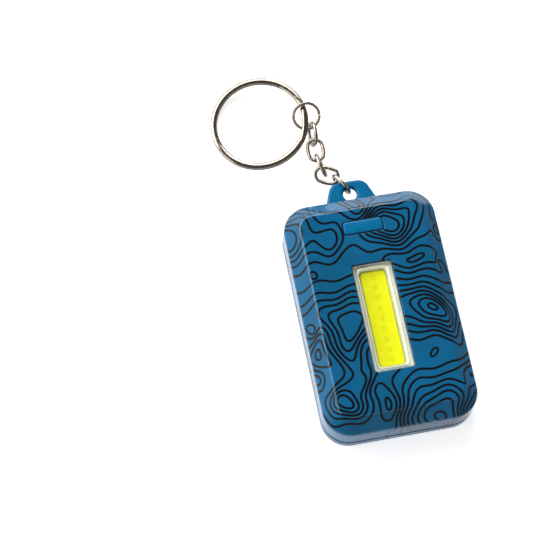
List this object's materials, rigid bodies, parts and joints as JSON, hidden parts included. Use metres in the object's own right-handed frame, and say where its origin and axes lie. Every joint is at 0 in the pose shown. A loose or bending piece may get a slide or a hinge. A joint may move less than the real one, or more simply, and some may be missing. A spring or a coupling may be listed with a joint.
{
  "type": "keychain flashlight",
  "caption": "Flat pocket flashlight with a lit strip in the front, a push button above it, and a lug that holds a short link chain and a split ring for keys.",
  "frame": {"origin": "centre of the rear cover's flat resting face", "axes": "+Z out of the lit front, +Y towards the chain lug, +X across the width"},
  "size_m": [0.0497, 0.099, 0.0133],
  "materials": {
    "printed_shell": "glossy printed plastic with black contour lines",
    "blue_plastic": "plain moulded blue, satin",
    "clear_window": "clear moulded plastic",
    "white_plastic": "white, slightly translucent",
    "phosphor": "yellow silicone phosphor",
    "circuit_board": "green solder mask",
    "black_plastic": "black moulded",
    "nickel_steel": "bright nickel plate",
    "cell_steel": "brushed",
    "contact_metal": "plated spring strip"
  },
  "bodies": {
    "body": {"front_cover": "printed_shell", "rear_cover": "printed_shell", "mid_frame": "blue_plastic", "lens_window": "clear_window", "window_reflector": "white_plastic", "cob_board": "circuit_board", "cob_phosphor": "phosphor", "main_board": "circuit_board", "driver_chip": "black_plastic", "resistor_1": "black_plastic", "resistor_2": "black_plastic", "switch_body": "black_plastic", "switch_lid": "nickel_steel", "coin_cell_1": "cell_steel", "coin_cell_2": "cell_steel", "contact_positive": "contact_metal", "contact_negative": "contact_metal", "cell_bridge": "contact_metal", "screw_1": "nickel_steel", "screw_2": "nickel_steel", "screw_3": "nickel_steel", "screw_4": "nickel_steel"},
    "button": {"push_button": "blue_plastic"},
    "stem": {"switch_stem": "black_plastic"},
    "link_5": {"chain_link_5": "nickel_steel"},
    "link_4": {"chain_link_4": "nickel_steel"},
    "link_3": {"chain_link_3": "nickel_steel"},
    "link_2": {"chain_link_2": "nickel_steel"},
    "link_1": {"chain_link_1": "nickel_steel"},
    "jump_ring": {"jump_ring": "nickel_steel"},
    "split_ring": {"split_ring": "nickel_steel"}
  },
  "joints": [
    {"name": "button_press", "type": "slide", "parent": "body", "child": "button", "axis": [0, 0, -1], "range_m": [0, 0.0005], "stiffness_N_per_m": 800},
    {"name": "stem_press", "type": "slide", "parent": "body", "child": "stem", "axis": [0, 0, -1], "range_m": [0, 0.0005]},
    {"name": "lug_swing", "type": "hinge", "parent": "body", "child": "link_5", "pos_m": [-0.00097, 0.03535, 0.0043], "axis": [0.849, 0.5214, 0.0858], "range_deg": [-45, 75]},
    {"name": "link_4_turn", "type": "hinge", "parent": "link_5", "child": "link_4", "pos_m": [-0.00294, 0.03867, 0.0036], "axis": [-0.165, 0.1074, 0.9804], "range_deg": [-30, 30]},
    {"name": "link_3_turn", "type": "hinge", "parent": "link_4", "child": "link_3", "pos_m": [-0.00477, 0.03966, 0.00331], "axis": [-0.3191, 0.0316, 0.9472], "range_deg": [-30, 30]},
    {"name": "link_2_turn", "type": "hinge", "parent": "link_3", "child": "link_2", "pos_m": [-0.00576, 0.0454, 0.00279], "axis": [-0.3191, 0.0316, 0.9472], "range_deg": [-30, 30]},
    {"name": "link_1_turn", "type": "hinge", "parent": "link_2", "child": "link_1", "pos_m": [-0.00567, 0.0486, 0.00269], "axis": [0.3089, -0.0093, 0.9511], "range_deg": [-30, 30]},
    {"name": "jump_ring_turn", "type": "hinge", "parent": "link_1", "child": "jump_ring", "pos_m": [-0.00549, 0.05445, 0.00269], "axis": [0.3089, -0.0093, 0.9511], "range_deg": [-40, 8]},
    {"name": "split_ring_flip", "type": "hinge", "parent": "jump_ring", "child": "split_ring", "pos_m": [-0.00671, 0.05604, 0.00424], "axis": [0.0599, 0.9982, 0], "range_deg": [-30, 110]}
  ],
  "couplings": [
    {"joint": "stem_press", "follows": "button_press", "ratio": 1}
  ]
}
